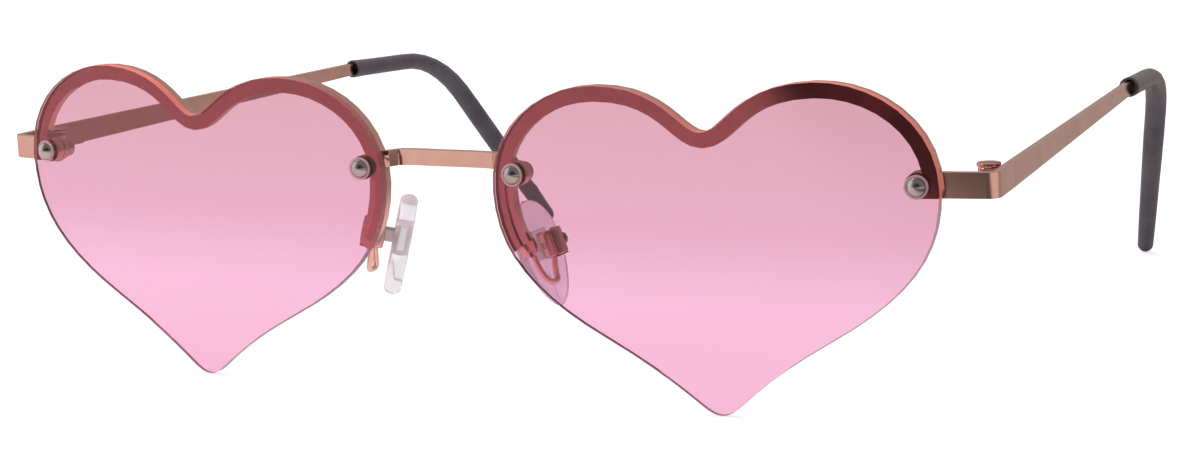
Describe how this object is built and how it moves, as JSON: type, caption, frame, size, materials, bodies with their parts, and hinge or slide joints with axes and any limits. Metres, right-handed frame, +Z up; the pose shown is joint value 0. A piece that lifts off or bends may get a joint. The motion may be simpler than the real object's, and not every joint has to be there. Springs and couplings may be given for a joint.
{
  "type": "heart shaped sunglasses",
  "caption": "Sunglasses with tinted heart shaped lenses screwed to slim metal half rims, rocking nose pads and folding temples with bent ear tips.",
  "frame": {"origin": "middle of the footprint, on the surface that the heart tips and temple tips stand on", "axes": "+X to the wearer's left, -Y out of the front of the lenses, +Z up"},
  "size_m": [0.1474, 0.1386, 0.0427],
  "materials": {
    "lens": "polished pink tint, lighter towards the bottom",
    "rose_gold_metal": "polished rose gold plating",
    "silver_metal": "polished",
    "clear_bushing": "clear",
    "clear_pad": "clear and soft",
    "temple_tip": "satin charcoal"
  },
  "bodies": {
    "front": {"left_lens": "lens", "right_lens": "lens", "left_rim": "rose_gold_metal", "right_rim": "rose_gold_metal", "bridge": "rose_gold_metal", "left_end_piece": "rose_gold_metal", "right_end_piece": "rose_gold_metal", "left_outer_lens_screw": "silver_metal", "left_inner_lens_screw": "silver_metal", "right_outer_lens_screw": "silver_metal", "right_inner_lens_screw": "silver_metal", "left_outer_lens_bushing": "clear_bushing", "left_inner_lens_bushing": "clear_bushing", "right_outer_lens_bushing": "clear_bushing", "right_inner_lens_bushing": "clear_bushing", "left_outer_lens_nut": "silver_metal", "left_inner_lens_nut": "silver_metal", "right_outer_lens_nut": "silver_metal", "right_inner_lens_nut": "silver_metal", "left_front_hinge_leaf": "rose_gold_metal", "right_front_hinge_leaf": "rose_gold_metal", "left_hinge_screw": "rose_gold_metal", "right_hinge_screw": "rose_gold_metal", "left_pad_arm": "rose_gold_metal", "right_pad_arm": "rose_gold_metal", "left_pad_box": "rose_gold_metal", "right_pad_box": "rose_gold_metal", "left_pad_screw": "silver_metal", "right_pad_screw": "silver_metal"},
    "left_temple": {"left_temple_arm": "rose_gold_metal", "left_temple_hinge_leaf": "rose_gold_metal", "left_temple_tip": "temple_tip"},
    "left_nose_pad_body": {"left_nose_pad": "clear_pad", "left_pad_stud": "silver_metal"},
    "right_temple": {"right_temple_arm": "rose_gold_metal", "right_temple_hinge_leaf": "rose_gold_metal", "right_temple_tip": "temple_tip"},
    "right_nose_pad_body": {"right_nose_pad": "clear_pad", "right_pad_stud": "silver_metal"}
  },
  "joints": [
    {"name": "left_temple_fold", "type": "hinge", "parent": "front", "child": "left_temple", "pos_m": [0.07032, -0.05465, 0.03024], "axis": [0, -0.0357, 0.9994], "range_deg": [0, 85]},
    {"name": "right_temple_fold", "type": "hinge", "parent": "front", "child": "right_temple", "pos_m": [-0.07032, -0.05465, 0.03024], "axis": [0, 0.0358, -0.9994], "range_deg": [0, 76]},
    {"name": "left_nose_pad_rock", "type": "hinge", "parent": "front", "child": "left_nose_pad_body", "pos_m": [0.01372, -0.06149, 0.02039], "axis": [0.46, 0.8575, 0.2301], "range_deg": [-12, 12]},
    {"name": "right_nose_pad_rock", "type": "hinge", "parent": "front", "child": "right_nose_pad_body", "pos_m": [-0.01372, -0.06149, 0.02039], "axis": [-0.46, 0.8575, 0.2301], "range_deg": [-12, 12]}
  ]
}
